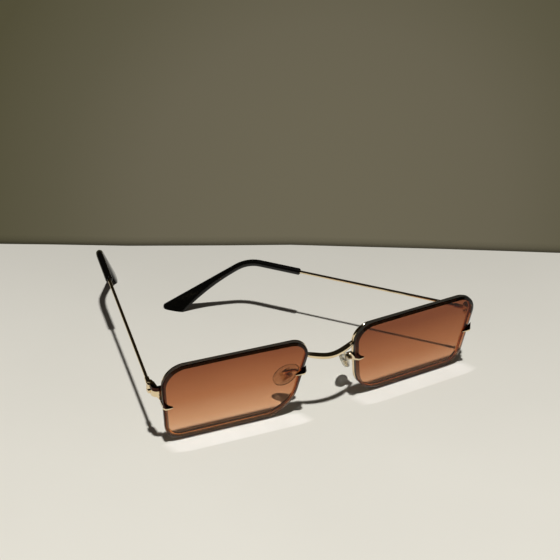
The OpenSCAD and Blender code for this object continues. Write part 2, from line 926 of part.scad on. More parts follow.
// How full each ring of the pad is, and where it lies through the thickness
pad_ring_shares = [0.78, 0.95, 1, 0.97, 0.86, 0.62, 0.3];
pad_depth_shares = [0, 0.12, 0.32, 0.55, 0.78, 0.93, 1];
pad_top_share = 0.8;

// The pad's outline is an egg that narrows towards the top
function pad_ring(full, x) =
    [
        for (i = [0:pad_points - 1])
            let (
                a = 360 * i / pad_points,
                narrow = 1 - (1 - pad_top_share) * (1 + sin(a)) / 2
            )
            [x, pad_w / 2 * full * narrow * cos(a), -pad_set + pad_l / 2 * full * sin(a)]
    ];

module nose_pad(side) {
    back_x = -pad_out + pad_t / 2;
    color(silicone)
        on_pad(side)
            difference() {
                skin([
                    for (k = [0:len(pad_ring_shares) - 1])
                        pad_ring(pad_ring_shares[k], back_x - pad_t * pad_depth_shares[k])
                ]);
                core_shape(seat_gap);
            }
}

// The pad arm leaves the rim's back, loops over and meets the back of the box
arm_v = 0.4;
arm_out = 3;
arm_lift = 1.6;
arm_steps = 18;
arm_sides = 10;
arm_from = lens_at(nose_edge(arm_v) + rim_in_nose, arm_v, -rim_depth);
arm_to = pad_at([box_back - box_floor / 2, 0, 0]);
arm_in = pad_at([box_back + arm_out, 0, 0]);

// A cubic curve that leaves the rim straight back and comes square onto the box
function arm_at(t) =
    pow(1 - t, 3) * arm_from
    + 3 * pow(1 - t, 2) * t * (arm_from + [0, arm_out, arm_lift])
    + 3 * (1 - t) * pow(t, 2) * arm_in
    + pow(t, 3) * arm_to;

module pad_arm(side) {
    path = [for (k = [0:arm_steps]) arm_at(k / arm_steps)];
    color(gold)
        difference() {
            on_side(side)
                difference() {
                    skin([
                        for (k = [0:arm_steps])
                            let (
                                before = path[max(0, k - 1)],
                                after = path[min(arm_steps, k + 1)]
                            )
                            ring_at(path[k], unit(after - before), arm_d / 2, arm_sides)
                    ]);
                    lens_plane() rim_run(-1);
                }
            on_pad(side)
                translate([-box_reach, -box_w / 2 - seat_gap, -box_l / 2 - seat_gap])
                    cube([box_reach + box_back + seat_gap, box_w + 2 * seat_gap, box_l + 2 * seat_gap]);
        }
}

bridge();
lens(right);  // right_lens
rim(right);  // right_rim
nose_claw(right);  // right_nose_claw
temple_claw(right);  // right_temple_claw
end_piece(right);  // right_end_piece
hinge_front(right);  // right_hinge_front
hinge_screw(right);  // right_hinge_screw
hinge_back(right);  // right_hinge_back
temple_wire(right);  // right_temple_wire
temple_tip(right);  // right_temple_tip
pad_arm(right);  // right_pad_arm
pad_box(right);  // right_pad_box
pad_screw(right);  // right_pad_screw
pad_core(right);  // right_pad_core
nose_pad(right);  // right_nose_pad
lens(left);  // left_lens
rim(left);  // left_rim
nose_claw(left);  // left_nose_claw
temple_claw(left);  // left_temple_claw
end_piece(left);  // left_end_piece
hinge_front(left);  // left_hinge_front
hinge_screw(left);  // left_hinge_screw
hinge_back(left);  // left_hinge_back
temple_wire(left);  // left_temple_wire
temple_tip(left);  // left_temple_tip
pad_arm(left);  // left_pad_arm
pad_box(left);  // left_pad_box
pad_screw(left);  // left_pad_screw
pad_core(left);  // left_pad_core
nose_pad(left);  // left_nose_pad
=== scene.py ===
# %% [markdown]
# Narrow rectangle sunglasses, dressed in Blender.
# The imported CAD model comes in first as a fixed frame.

# %% The fixed frame
import json
import math

import bmesh
import bpy
import numpy as np
from mathutils import Matrix, Vector

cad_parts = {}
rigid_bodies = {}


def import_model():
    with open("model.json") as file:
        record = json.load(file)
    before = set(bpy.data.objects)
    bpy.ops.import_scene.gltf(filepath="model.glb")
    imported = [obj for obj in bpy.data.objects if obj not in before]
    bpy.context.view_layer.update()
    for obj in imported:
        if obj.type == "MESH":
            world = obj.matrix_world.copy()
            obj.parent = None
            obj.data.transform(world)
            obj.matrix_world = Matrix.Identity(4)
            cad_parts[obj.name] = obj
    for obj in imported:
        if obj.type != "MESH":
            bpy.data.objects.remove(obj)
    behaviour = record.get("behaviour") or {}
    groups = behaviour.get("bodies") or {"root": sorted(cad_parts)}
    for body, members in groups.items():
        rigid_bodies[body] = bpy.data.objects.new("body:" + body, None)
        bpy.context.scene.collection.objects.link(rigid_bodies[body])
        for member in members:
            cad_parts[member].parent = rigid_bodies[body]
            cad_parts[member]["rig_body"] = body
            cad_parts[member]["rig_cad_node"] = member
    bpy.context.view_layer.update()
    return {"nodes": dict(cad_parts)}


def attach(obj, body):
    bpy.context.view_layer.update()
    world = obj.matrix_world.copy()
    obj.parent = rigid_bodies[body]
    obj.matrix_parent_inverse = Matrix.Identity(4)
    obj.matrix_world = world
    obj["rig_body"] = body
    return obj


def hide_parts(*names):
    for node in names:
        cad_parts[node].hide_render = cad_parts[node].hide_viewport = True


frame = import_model()
nodes = frame["nodes"]
scene = bpy.context.scene
scene.view_settings.view_transform = "Standard"
MM = 0.001
SIDES = ("right", "left")

# %% [markdown]
# The camera stands where the photograph was taken from: in front of the pair, above it
# and to the wearer's right. Its three axes were found by matching known points of the
# object, so they are given as unit vectors and turned into a rotation.

# %% The camera
CAMERA_PLACE = Vector((-0.19722, -0.381869, 0.268543))
CAMERA_RIGHT = Vector((0.8866892, -0.4606696, 0.0395693))
CAMERA_DOWN = Vector((-0.198101, -0.4558361, -0.8677381))
CAMERA_AHEAD = Vector((0.4177776, 0.7615753, -0.4954441))

camera_data = bpy.data.cameras.new("camera")
camera_data.sensor_width = 36.0
camera_data.lens = 75.89
camera = bpy.data.objects.new("camera", camera_data)
scene.collection.objects.link(camera)
turn = Matrix((CAMERA_RIGHT, -CAMERA_DOWN, -CAMERA_AHEAD)).transposed()
camera.matrix_world = Matrix.Translation(CAMERA_PLACE) @ turn.to_4x4()
scene.camera = camera
print("camera at", tuple(round(v, 3) for v in CAMERA_PLACE))

# %% [markdown]
# A shader is a small graph. These helpers start one, join its sockets, read a place and
# tell the number of nodes, so each finish below is a short recipe. Patterns read Object
# coordinates: every piece stays at the origin, so these are places in the pair's own
# frame, in metres.

# %% Starting a finish
def new_finish(name):
    """A material with an empty graph round one Principled shader."""
    finish = bpy.data.materials.new(name)
    finish.use_nodes = True
    graph = finish.node_tree
    return finish, graph, graph.nodes["Principled BSDF"]


def join(graph, source, target):
    graph.links.new(source, target)


def place_input(graph):
    return graph.nodes.new("ShaderNodeTexCoord").outputs["Object"]


def coordinate(graph, axis, source=None):
    """One coordinate of a place in the pair's frame, or of another vector."""
    node = graph.nodes.new("ShaderNodeSeparateXYZ")
    join(graph, source or place_input(graph), node.inputs["Vector"])
    return node.outputs[axis]


def tell(finish):
    print(finish.name, "has", len(finish.node_tree.nodes), "nodes")


# %% [markdown]
# No real surface is even, so most finishes start from a noise pattern. One helper makes
# it, one stretches it to the range that a socket needs, and one turns it into colours.
# The same nodes could be placed by hand, but here a whole pattern takes one line.

# %% Patterns and colours
def noise(graph, scale, detail):
    """A noise pattern, with its scale in waves a metre."""
    node = graph.nodes.new("ShaderNodeTexNoise")
    node.inputs["Scale"].default_value = scale
    node.inputs["Detail"].default_value = detail
    join(graph, place_input(graph), node.inputs["Vector"])
    return node.outputs["Fac"]


def remap(graph, source, low, high, to_low, to_high):
    """Stretches a value from one range to another, and holds it there."""
    node = graph.nodes.new("ShaderNodeMapRange")
    for key, value in (("From Min", low), ("From Max", high), ("To Min", to_low), ("To Max", to_high)):
        node.inputs[key].default_value = value
    join(graph, source, node.inputs["Value"])
    return node.outputs["Result"]


def ramp(graph, source, stops):
    """Colours along a value, as (place, (red, green, blue)) in linear light."""
    node = graph.nodes.new("ShaderNodeValToRGB")
    band = node.color_ramp
    while len(band.elements) < len(stops):
        band.elements.new(0.5)
    for element, (place, colour) in zip(band.elements, stops):
        element.position = place
        element.color = (*colour, 1.0)
    join(graph, source, node.inputs["Fac"])
    return node.outputs["Color"]


# %% [markdown]
# Some patterns are worked out, such as how far across the pair a place lies. Each of
# these helpers adds one step to a graph. The last one makes relief of a pattern, which
# turns the light and leaves the mesh as it is.

# %% Steps in a graph
def arithmetic(graph, operation, first, second):
    """A step of arithmetic on two values, where the second may be a plain number."""
    node = graph.nodes.new("ShaderNodeMath")
    node.operation = operation
    join(graph, first, node.inputs[0])
    if isinstance(second, float):
        node.inputs[1].default_value = second
    else:
        join(graph, second, node.inputs[1])
    return node.outputs["Value"]


def vector_step(graph, operation, first, second=None):
    """A step of vector arithmetic, where the second value is fixed."""
    node = graph.nodes.new("ShaderNodeVectorMath")
    node.operation = operation
    join(graph, first, node.inputs[0])
    if second is not None:
        node.inputs[1].default_value = second
    gives_number = operation in ("DOT_PRODUCT", "LENGTH")
    return node.outputs["Value" if gives_number else "Vector"]


def multiplied(graph, first, second):
    """Two colours multiplied. The Mix node's colour sockets share their names with others."""
    node = graph.nodes.new("ShaderNodeMix")
    node.data_type = "RGBA"
    node.blend_type = "MULTIPLY"
    node.inputs["Factor"].default_value = 1.0
    colour_a, colour_b, colour_out = node.inputs[6], node.inputs[7], node.outputs[2]
    join(graph, first, colour_a)
    join(graph, second, colour_b)
    return colour_out


def bump(graph, source, depth, strength):
    """A relief of that depth, in metres, from a value between 0 and 1."""
    node = graph.nodes.new("ShaderNodeBump")
    node.inputs["Distance"].default_value = depth
    node.inputs["Strength"].default_value = strength
    join(graph, source, node.inputs["Height"])
    return node.outputs["Normal"]


# %% [markdown]
# The metal is brass plated in pale gold and polished, so it is almost a mirror and shows
# the dark room above and the pale table below. Polish is never even: broad soft patches
# of the plating are a touch warmer, and a fine grain changes the roughness.

# %% Polished pale gold
gold, graph, shader = new_finish("polished pale gold")
patches = noise(graph, 260.0, detail=2.0)
plating = ramp(graph, patches, [(0.3, (0.84, 0.68, 0.44)), (0.7, (0.89, 0.75, 0.53))])
join(graph, plating, shader.inputs["Base Color"])
grain = noise(graph, 5200.0, detail=4.0)
join(graph, remap(graph, grain, 0.3, 0.7, 0.05, 0.11), shader.inputs["Roughness"])
join(graph, bump(graph, grain, 0.000002, 0.4), shader.inputs["Normal"])
shader.inputs["Metallic"].default_value = 1.0
tell(gold)

# %% [markdown]
# The claws' upper slopes and the tops of the end pieces face the darkest part of the room,
# so they look almost black beside the bright metal under them. A plain mirror would need
# the whole real room, so a darker gold with painted shade stands in for it.

# %% Gold with painted shade
gold_with_painted_shade, graph, shader = new_finish("gold with painted shade")
# Nearly black tones of painted shade, with a slow mottle through them.
shade_mottle = noise(graph, 900.0, detail=2.0)
painted_shade_tones = ramp(graph, shade_mottle, [(0.3, (0.030, 0.010, 0.008)), (0.7, (0.055, 0.022, 0.016))])
join(graph, painted_shade_tones, shader.inputs["Base Color"])
shader.inputs["Metallic"].default_value = 1.0
shader.inputs["Roughness"].default_value = 0.12
tell(gold_with_painted_shade)

# %% [markdown]
# The lenses are dyed: they were dipped in hot dye, top first and longest, so the brown is
# deep along the top and fades to a pinkish tan at the bottom. Clear plastic bends light,
# so the bevel round the front looks dark where it throws the view aside. The colour is a
# ramp over the height, a slow noise keeps the fade from being too even, and the colour is
# a little deeper towards the wearer's left. The bevel and the ground edge have darker
# ramps of their own, which are painted shade, nearly black towards the top; the ground
# edge also has a paler painted highlight at its foot.

# %% Gradient tint
LENS_TOP, LENS_SPAN = 0.0352, 0.039
DYE_DRIFT, DEEPER_LEFT = 0.04, 0.17
PLASTIC_IOR = 1.22


def dye_and_painted_shade(name, stops, roughness=0.0, clear=1.0, gloss=0.25):
    """Clear plastic coloured by the given stops from the foot of the lens to its top: the dye, and on
    the bevel and ground edge also painted shade.
    """
    finish, graph, shader = new_finish(name)
    share = remap(graph, coordinate(graph, "Z"), 0.0, LENS_TOP, 0.0, 1.0)
    drift = remap(graph, noise(graph, 55.0, detail=1.0), 0.0, 1.0, -DYE_DRIFT, DYE_DRIFT)
    deeper = remap(graph, coordinate(graph, "X"), -LENS_SPAN, LENS_SPAN, 0.0, DEEPER_LEFT)
    depth = arithmetic(graph, "ADD", arithmetic(graph, "ADD", share, drift), deeper)
    join(graph, ramp(graph, depth, stops), shader.inputs["Base Color"])
    shader.inputs["Roughness"].default_value = roughness
    shader.inputs["IOR"].default_value = PLASTIC_IOR
    shader.inputs["Specular IOR Level"].default_value = gloss
    shader.inputs["Transmission Weight"].default_value = clear
    return finish


tint = dye_and_painted_shade("brown gradient tint", [
    (0.0, (0.94, 0.64, 0.44)),
    (0.25, (0.76, 0.40, 0.22)),
    (0.55, (0.53, 0.205, 0.090)),
    (0.85, (0.38, 0.125, 0.050)),
    (1.0, (0.29, 0.085, 0.034)),
])
# The bevel's ramp is painted shade, nearly black towards the top.
bevel_painted_shade = dye_and_painted_shade("brown tint with painted shade at the bevel", [
    (0.0, (0.27, 0.23, 0.20)),
    (0.15, (0.12, 0.070, 0.052)),
    (0.6, (0.035, 0.011, 0.006)),
    (0.85, (0.005, 0.002, 0.0015)),
    (1.0, (0.0006, 0.0004, 0.0003)),
])
# The ground edge's ramp is painted shade towards the top, with a painted highlight at its foot.
ground_edge_painted_light = dye_and_painted_shade("brown tint on the ground edge", [
    (0.0, (0.30, 0.21, 0.16)),
    (0.4, (0.060, 0.040, 0.030)),
    (1.0, (0.040, 0.037, 0.031)),
], roughness=0.3, clear=0.3, gloss=0.5)
for finish in (tint, bevel_painted_shade, ground_edge_painted_light):
    tell(finish)

# %% [markdown]
# The tips are moulded in black acetate and tumbled until they shine. Up close the gloss
# carries a faint ripple from the mould and a few dull specks, which break the highlights.

# %% Gloss black plastic
black, graph, shader = new_finish("gloss black plastic")
ripple = noise(graph, 300.0, detail=1.0)
specks = noise(graph, 4200.0, detail=2.0)
speckled = ramp(graph, specks, [(0.45, (0.0015, 0.0015, 0.0013)), (0.75, (0.005, 0.0045, 0.004))])
join(graph, speckled, shader.inputs["Base Color"])
join(graph, remap(graph, specks, 0.4, 0.75, 0.10, 0.24), shader.inputs["Roughness"])
join(graph, bump(graph, ripple, 0.00006, 0.5), shader.inputs["Normal"])
shader.inputs["IOR"].default_value = 1.5
shader.inputs["Specular IOR Level"].default_value = 0.35
tell(black)

# %% [markdown]
# The pads are clear silicone: softer and duller than glass, with a slightly matt skin
# and a hint of grey-green in the thick part.

# %% Clear silicone
silicone, graph, shader = new_finish("clear silicone")
skin = noise(graph, 1800.0, detail=3.0)
join(graph, remap(graph, skin, 0.35, 0.65, 0.06, 0.16), shader.inputs["Roughness"])
join(graph, bump(graph, skin, 0.000004, 0.4), shader.inputs["Normal"])
cloudy = ramp(graph, skin, [(0.3, (0.80, 0.82, 0.77)), (0.7, (0.88, 0.89, 0.85))])
join(graph, cloudy, shader.inputs["Base Color"])
shader.inputs["IOR"].default_value = 1.3
shader.inputs["Transmission Weight"].default_value = 0.86
tell(silicone)

# %% [markdown]
# The table is a pale board with the faintest unevenness of paint. The photograph's board
# is paler in front than behind the pair, so painted shade from a falloff of light makes
# it darker towards the back, along a line that runs across the board.

# %% Pale board
FALLOFF_SLANT, FALLOFF_FROM, FALLOFF_TO = 0.46, -0.22, 0.08
board, graph, shader = new_finish("pale board")
mottle = noise(graph, 9.0, detail=5.0)
paint = ramp(graph, mottle, [(0.3, (0.78, 0.765, 0.72)), (0.7, (0.81, 0.795, 0.75))])
across = arithmetic(graph, "MULTIPLY", coordinate(graph, "X"), FALLOFF_SLANT)
slant = arithmetic(graph, "ADD", across, coordinate(graph, "Y"))
# A painted falloff of light: the board gets darker towards the back.
painted_light_falloff = ramp(graph, remap(graph, slant, FALLOFF_FROM, FALLOFF_TO, 0.0, 1.0), [
    (0.0, (1.0, 1.0, 1.0)),
    (0.4, (0.92, 0.92, 0.92)),
    (1.0, (0.70, 0.70, 0.70)),
])
join(graph, multiplied(graph, paint, painted_light_falloff), shader.inputs["Base Color"])
pores = noise(graph, 900.0, detail=2.0)
join(graph, bump(graph, pores, 0.00001, 0.3), shader.inputs["Normal"])
shader.inputs["Roughness"].default_value = 0.6
shader.inputs["Specular IOR Level"].default_value = 0.2
tell(board)

# %% [markdown]
# A thin solid is made as a loft: rings of points that are joined by faces, with both ends
# closed. These helpers list its faces, make the mesh, turn its faces outwards, and shade
# it smooth up to a given angle, so that edges stay crisp.

# %% Helpers for meshes
def finish_mesh(mesh, smooth_deg):
    """Faces outwards, shaded smooth where they meet at less than the given angle."""
    shape = bmesh.new()
    shape.from_mesh(mesh)
    bmesh.ops.remove_doubles(shape, verts=shape.verts, dist=1e-7)
    bmesh.ops.recalc_face_normals(shape, faces=shape.faces)
    shape.to_mesh(mesh)
    shape.free()
    mesh.polygons.foreach_set("use_smooth", [True] * len(mesh.polygons))
    mesh.set_sharp_from_angle(angle=math.radians(smooth_deg))
    mesh.update()


def new_piece(name, points, faces, material, smooth_deg=35.0):
    mesh = bpy.data.meshes.new(name)
    mesh.from_pydata([tuple(p) for p in points], [], faces)
    finish_mesh(mesh, smooth_deg)
    mesh.materials.append(material)
    piece = bpy.data.objects.new(name, mesh)
    scene.collection.objects.link(piece)
    return piece


def loft(rings):
    """Points and faces of a stack of rings that all have the same number of points."""
    count, last = len(rings[0]), len(rings) - 1
    points = [p for ring in rings for p in ring]
    faces = []
    for k in range(last):
        here, after = k * count, (k + 1) * count
        for i in range(count):
            j = (i + 1) % count
            faces.append((here + i, here + j, after + j, after + i))
    faces.append(tuple(range(count)))
    faces.append(tuple(last * count + i for i in range(count)))
    return points, faces


def stand(piece, body, slot, *replaced):
    """Rides a finished piece on its body and hides what it stands for. Its slot is not used."""
    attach(piece, body)
    if replaced:
        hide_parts(*replaced)
    print(piece.name, len(piece.data.polygons), "faces on", body)


# %% [markdown]
# Both lenses follow one rule, so their sizes and their plane are given once. Each lens
# leans forward at the top and turns back at its outer end. A place on it has three
# numbers: outwards, upwards, and to the front of its edge plane. All lengths here are in
# millimetres, and they are the CAD model's own.

# %% The lens plane
LENS_W, LENS_H, LENS_GAP = 54.7, 34.4, 23.6
LENS_EDGE, BEVEL_W, BEVEL_H = 1.2, 1.3, 0.6
CORNER_R = {"top_nose": 7.4, "top_temple": 8.6, "low_temple": 7.2, "low_nose": 13.8}
TOP_BOW, LOW_BOW = 0.3, 0.6
LENS_TILT, FACE_WRAP = math.radians(5.9), math.radians(3.3)
NOSE_SLANT, TEMPLE_SLANT = 0.185, 0.1
LENS_CLEAR = 0.08
LENS_X = (LENS_GAP + LENS_W) / 2
LENS_Z = (LENS_H / 2 + LOW_BOW) * math.cos(LENS_TILT)
STAND_Y = 62.5193


def lens_at(u, v, front):
    """The left lens plane, in millimetres before the pair is moved onto its origin."""
    back = -front * math.cos(LENS_TILT) - v * math.sin(LENS_TILT)
    return np.array([
        LENS_X + u * math.cos(FACE_WRAP) - back * math.sin(FACE_WRAP),
        u * math.sin(FACE_WRAP) + back * math.cos(FACE_WRAP),
        LENS_Z + v * math.cos(LENS_TILT) - front * math.sin(LENS_TILT),
    ])


def placed(point, side):
    """A left place in millimetres as a place on that side in metres, in the pair's frame."""
    x, y, z = point
    return ((-x if side == "right" else x) * MM, (y - STAND_Y) * MM, z * MM)


def nose_edge(v):
    return -(LENS_W / 2 + NOSE_SLANT * v)


def temple_edge(v):
    return LENS_W / 2 + TEMPLE_SLANT * v


def unit(vector):
    return vector / np.linalg.norm(vector)


print("middle of the left lens, in millimetres:", np.round(lens_at(0.0, 0.0, 0.0), 2))

# %% [markdown]
# The outline is four straight edges joined by round corners of four different radii, with
# the long edges bowed a little. An arc that touches both edges of a corner has its centre
# on the line that halves the corner, which is all that the next function needs.

# %% The lens outline
def corners(in_nose, in_temple, in_edge):
    top = LENS_H / 2 - in_edge
    inset = max(in_nose, in_temple, in_edge)
    return [
        (np.array([nose_edge(top) + in_nose, top]), CORNER_R["top_nose"] - inset),
        (np.array([temple_edge(top) - in_temple, top]), CORNER_R["top_temple"] - inset),
        (np.array([temple_edge(-top) - in_temple, -top]), CORNER_R["low_temple"] - inset),
        (np.array([nose_edge(-top) + in_nose, -top]), CORNER_R["low_nose"] - inset),
    ]


def corner_arc(corner_list, i):
    """(centre, radius, start angle, sweep) of one corner, where the outline runs clockwise."""
    point, radius = corner_list[i]
    before = unit(corner_list[(i + 3) % 4][0] - point)
    after = unit(corner_list[(i + 1) % 4][0] - point)
    half = math.acos(float(before @ after)) / 2
    centre = point + unit(before + after) * radius / math.sin(half)
    start = point + before * radius / math.tan(half) - centre
    return centre, radius, math.atan2(start[1], start[0]), -(math.pi - 2 * half)


def arc_point(arc, t):
    angle = arc[2] + arc[3] * t
    return arc[0] + arc[1] * np.array([math.cos(angle), math.sin(angle)])


def bowed(point):
    bow = TOP_BOW if point[1] > 0 else -LOW_BOW
    share = min(1.0, abs(point[0]) / (LENS_W / 2))
    return np.array([point[0], point[1] + bow * (1 - share * share) * abs(point[1]) / (LENS_H / 2)])


CORNER_STEPS = 20
EDGE_STEPS = 16


def outline(inset, notch=None):
    """The outline drawn in by inset. A notch adds four points on the temple edge."""
    arcs = [corner_arc(corners(inset, inset, inset), i) for i in range(4)]
    points = []
    for i, arc in enumerate(arcs):
        points += [bowed(arc_point(arc, k / CORNER_STEPS)) for k in range(CORNER_STEPS + 1)]
        start, end = arc_point(arc, 1), arc_point(arcs[(i + 1) % 4], 0)
        if i == 1 and notch:
            low, top, depth = notch
            points += [
                np.array([temple_edge(top) - inset, top]),
                np.array([temple_edge(top) - max(depth, inset), top]),
                np.array([temple_edge(low) - max(depth, inset), low]),
                np.array([temple_edge(low) - inset, low]),
            ]
        else:
            points += [bowed(start + (end - start) * k / EDGE_STEPS) for k in range(1, EDGE_STEPS)]
    return points


print("points round a lens:", len(outline(0.0)))

# %% [markdown]
# A lens is a loft of three rings: the flat back, the front of its edge, and the flat face
# inside the bevel. The claw beside the temple passes through a small notch in the edge.
# A fine bevel on every sharp edge then catches a line of light, as ground edges do.

# %% The lenses
CLAW_BAND, TEMPLE_CLAW_V, NOTCH = 1.6, -0.8, 0.5
notch_place = (TEMPLE_CLAW_V - LENS_CLEAR, TEMPLE_CLAW_V + CLAW_BAND + LENS_CLEAR, NOTCH)


def lens_rings():
    full = outline(0.0, notch_place)
    inner = outline(BEVEL_W, notch_place)
    slope = BEVEL_H / BEVEL_W
    depth_in = [max(0.0, temple_edge(v) - u) if notch_place[0] <= v <= notch_place[1] and u > 0 else 0.0
                for u, v in full]
    return [
        [(u, v, -LENS_EDGE) for u, v in full],
        [(u, v, slope * d) for (u, v), d in zip(full, depth_in)],
        [(u, v, BEVEL_H) for u, v in inner],
    ]


def soften(piece, width, segments, angle_deg):
    """Rounds every edge sharper than the given angle, and applies the modifier."""
    bevel = piece.modifiers.new("bevel", "BEVEL")
    bevel.width = width
    bevel.segments = segments
    bevel.limit_method = "ANGLE"
    bevel.angle_limit = math.radians(angle_deg)
    bevel.harden_normals = False
    apply_modifiers(piece)


def apply_modifiers(piece):
    """Swaps the mesh for the one that its modifiers give, and removes them."""
    depsgraph = bpy.context.evaluated_depsgraph_get()
    result = bpy.data.meshes.new_from_object(piece.evaluated_get(depsgraph))
    piece.modifiers.clear()
    piece.data = result
    piece.data.name = piece.name


for side in SIDES:
    rings = [[placed(lens_at(*p), side) for p in ring] for ring in lens_rings()]
    points, faces = loft(rings)
    lens = new_piece(f"{side}_lens_glazing", points, faces, tint, smooth_deg=20.0)
    # The bevel and the ground edge take the finishes with painted shade.
    lens.data.materials.append(bevel_painted_shade)
    lens.data.materials.append(ground_edge_painted_light)
    around = len(rings[0])
    edge_faces, bevel_faces = range(around), range(around, 2 * around)
    for polygon in lens.data.polygons:
        if polygon.index in edge_faces:
            polygon.material_index = 2
        elif polygon.index in bevel_faces:
            polygon.material_index = 1
    soften(lens, 0.05 * MM, segments=2, angle_deg=20.0)
    finish_mesh(lens.data, 9.0)
    stand(lens, "front", "tinted_lens", f"{side}_lens")

# %% [markdown]
# Everything that is bent from wire follows a path: the rims, the bridge, the arms of the
# pads and the temples. One Geometry Nodes tree does them all. It turns a chain of edges
# into a curve, reads each point's own radius, sweeps a circle along it, and makes it
# real. The sizes that change from wire to wire are the tree's named inputs.

# %% The wire tree
def wire_tree():
    tree = bpy.data.node_groups.new("wire along a path", "GeometryNodeTree")
    face = tree.interface
    face.new_socket("Path", in_out="INPUT", socket_type="NodeSocketGeometry")
    face.new_socket("Thickness share", in_out="INPUT", socket_type="NodeSocketFloat").default_value = 1.0
    face.new_socket("Sides", in_out="INPUT", socket_type="NodeSocketInt").default_value = 24
    face.new_socket("Metal", in_out="INPUT", socket_type="NodeSocketMaterial")
    face.new_socket("Wire", in_out="OUTPUT", socket_type="NodeSocketGeometry")
    make = tree.nodes.new
    group_in, group_out = make("NodeGroupInput"), make("NodeGroupOutput")
    to_curve, sweep = make("GeometryNodeMeshToCurve"), make("GeometryNodeCurveToMesh")
    circle = make("GeometryNodeCurvePrimitiveCircle")
    circle.inputs["Radius"].default_value = 1.0
    radius = make("GeometryNodeInputNamedAttribute")
    radius.data_type = "FLOAT"
    radius.inputs["Name"].default_value = "wire_radius"
    times = make("ShaderNodeMath")
    times.operation = "MULTIPLY"
    smooth = make("GeometryNodeSetShadeSmooth")
    real, paint = make("GeometryNodeRealizeInstances"), make("GeometryNodeSetMaterial")
    sweep.inputs["Fill Caps"].default_value = True
    for source, target in (
        (group_in.outputs["Path"], to_curve.inputs["Mesh"]),
        (to_curve.outputs["Curve"], sweep.inputs["Curve"]),
        (group_in.outputs["Sides"], circle.inputs["Resolution"]),
        (circle.outputs["Curve"], sweep.inputs["Profile Curve"]),
        (radius.outputs["Attribute"], times.inputs[0]),
        (group_in.outputs["Thickness share"], times.inputs[1]),
        (times.outputs["Value"], sweep.inputs["Scale"]),
        (sweep.outputs["Mesh"], smooth.inputs["Geometry"]),
        (smooth.outputs["Geometry"], real.inputs["Geometry"]),
        (real.outputs["Geometry"], paint.inputs["Geometry"]),
        (group_in.outputs["Metal"], paint.inputs["Material"]),
        (paint.outputs["Geometry"], group_out.inputs["Wire"]),
    ):
        tree.links.new(source, target)
    return tree


WIRE_TREE = wire_tree()
print("the wire tree has", len(WIRE_TREE.nodes), "nodes")


def set_inputs(modifier, values):
    """Sets a tree's inputs by the identifiers behind their names."""
    for item in modifier.node_group.interface.items_tree:
        if item.item_type == "SOCKET" and item.in_out == "INPUT" and item.name in values:
            modifier[item.identifier] = values[item.name]


def bend_wire(name, path, radii, closed=False, sides=28):
    """A wire along a path of points in metres, with a radius in metres at each point."""
    chain = bpy.data.meshes.new(name)
    edges = [(i, i + 1) for i in range(len(path) - 1)]
    if closed:
        edges.append((len(path) - 1, 0))
    chain.from_pydata([tuple(p) for p in path], edges, [])
    chain.attributes.new("wire_radius", "FLOAT", "POINT").data.foreach_set("value", list(radii))
    piece = bpy.data.objects.new(name, chain)
    scene.collection.objects.link(piece)
    modifier = piece.modifiers.new("wire", "NODES")
    modifier.node_group = WIRE_TREE
    set_inputs(modifier, {"Thickness share": 1.0, "Sides": sides, "Metal": gold})
    apply_modifiers(piece)
    finish_mesh(piece.data, 50.0)
    return piece


# %% [markdown]
# Each rim is a closed wire behind the lens. It follows the lens outline a little way in
# from the edge, at its own distance beside the nose, beside the temple and above.

# %% The rims
RIM_D, RIM_IN_NOSE, RIM_IN_TEMPLE, RIM_IN_EDGE = 1.3, 0.3, 1.0, 1.1
RIM_DEPTH = LENS_EDGE + LENS_CLEAR + RIM_D / 2


def rim_path():
    corner_list = corners(RIM_IN_NOSE, RIM_IN_TEMPLE, RIM_IN_EDGE)
    arcs = [corner_arc(corner_list, i) for i in range(4)]
    return [arc_point(arc, k / CORNER_STEPS) for arc in arcs for k in range(CORNER_STEPS + 1)]


for side in SIDES:
    path = [placed(lens_at(u, v, -RIM_DEPTH), side) for u, v in rim_path()]
    rim = bend_wire(f"{side}_rim_wire", path, [RIM_D / 2 * MM] * len(path), closed=True)
    stand(rim, "front", "gold_metal", f"{side}_rim")

# %% [markdown]
# The bridge is thicker in its middle than at its ends, which turn in behind the lenses
# to meet the rims. A Boolean then takes away the room of the lens, so that no metal
# stands in the glazing.

# %% The bridge
BRIDGE_D, BRIDGE_END_D, BRIDGE_BOW, BRIDGE_DROP = 2.4, 1.6, 2.2, 1.9
BRIDGE_BELOW, BRIDGE_CURL, BRIDGE_HUMP = 8.4, 0.75, 0.5
SEAT_SHARE = 0.25
BRIDGE_STEPS = 72
bridge_v = LENS_H / 2 - BRIDGE_BELOW
foot = lens_at(nose_edge(bridge_v) + RIM_IN_NOSE - RIM_D * SEAT_SHARE, bridge_v, -RIM_DEPTH)
bridge_path, bridge_radii = [], []
for k in range(BRIDGE_STEPS + 1):
    s = -math.cos(math.pi * k / BRIDGE_STEPS)
    arch = max(0.0, 1 - s * s)
    hump = BRIDGE_HUMP * math.sin(math.pi * abs(s)) * abs(s)
    bridge_path.append(placed((
        foot[0] * s,
        foot[1] - BRIDGE_BOW * arch ** BRIDGE_CURL,
        foot[2] - BRIDGE_DROP * arch + hump,
    ), "left"))
    share = abs(s) ** 6
    bridge_radii.append((BRIDGE_D / 2 * (1 - share) + BRIDGE_END_D / 2 * share) * MM)
bridge = bend_wire("bridge_bar", bridge_path, bridge_radii, sides=36)


def lens_room(side):
    """The lens outline with a little air round it, through the lens's whole thickness."""
    air = outline(-LENS_CLEAR)
    rings = [[placed(lens_at(u, v, front), side) for u, v in air]
             for front in (-LENS_EDGE - LENS_CLEAR, BEVEL_H + LENS_CLEAR)]
    points, faces = loft(rings)
    return new_piece(f"{side}_lens_room", points, faces, gold)


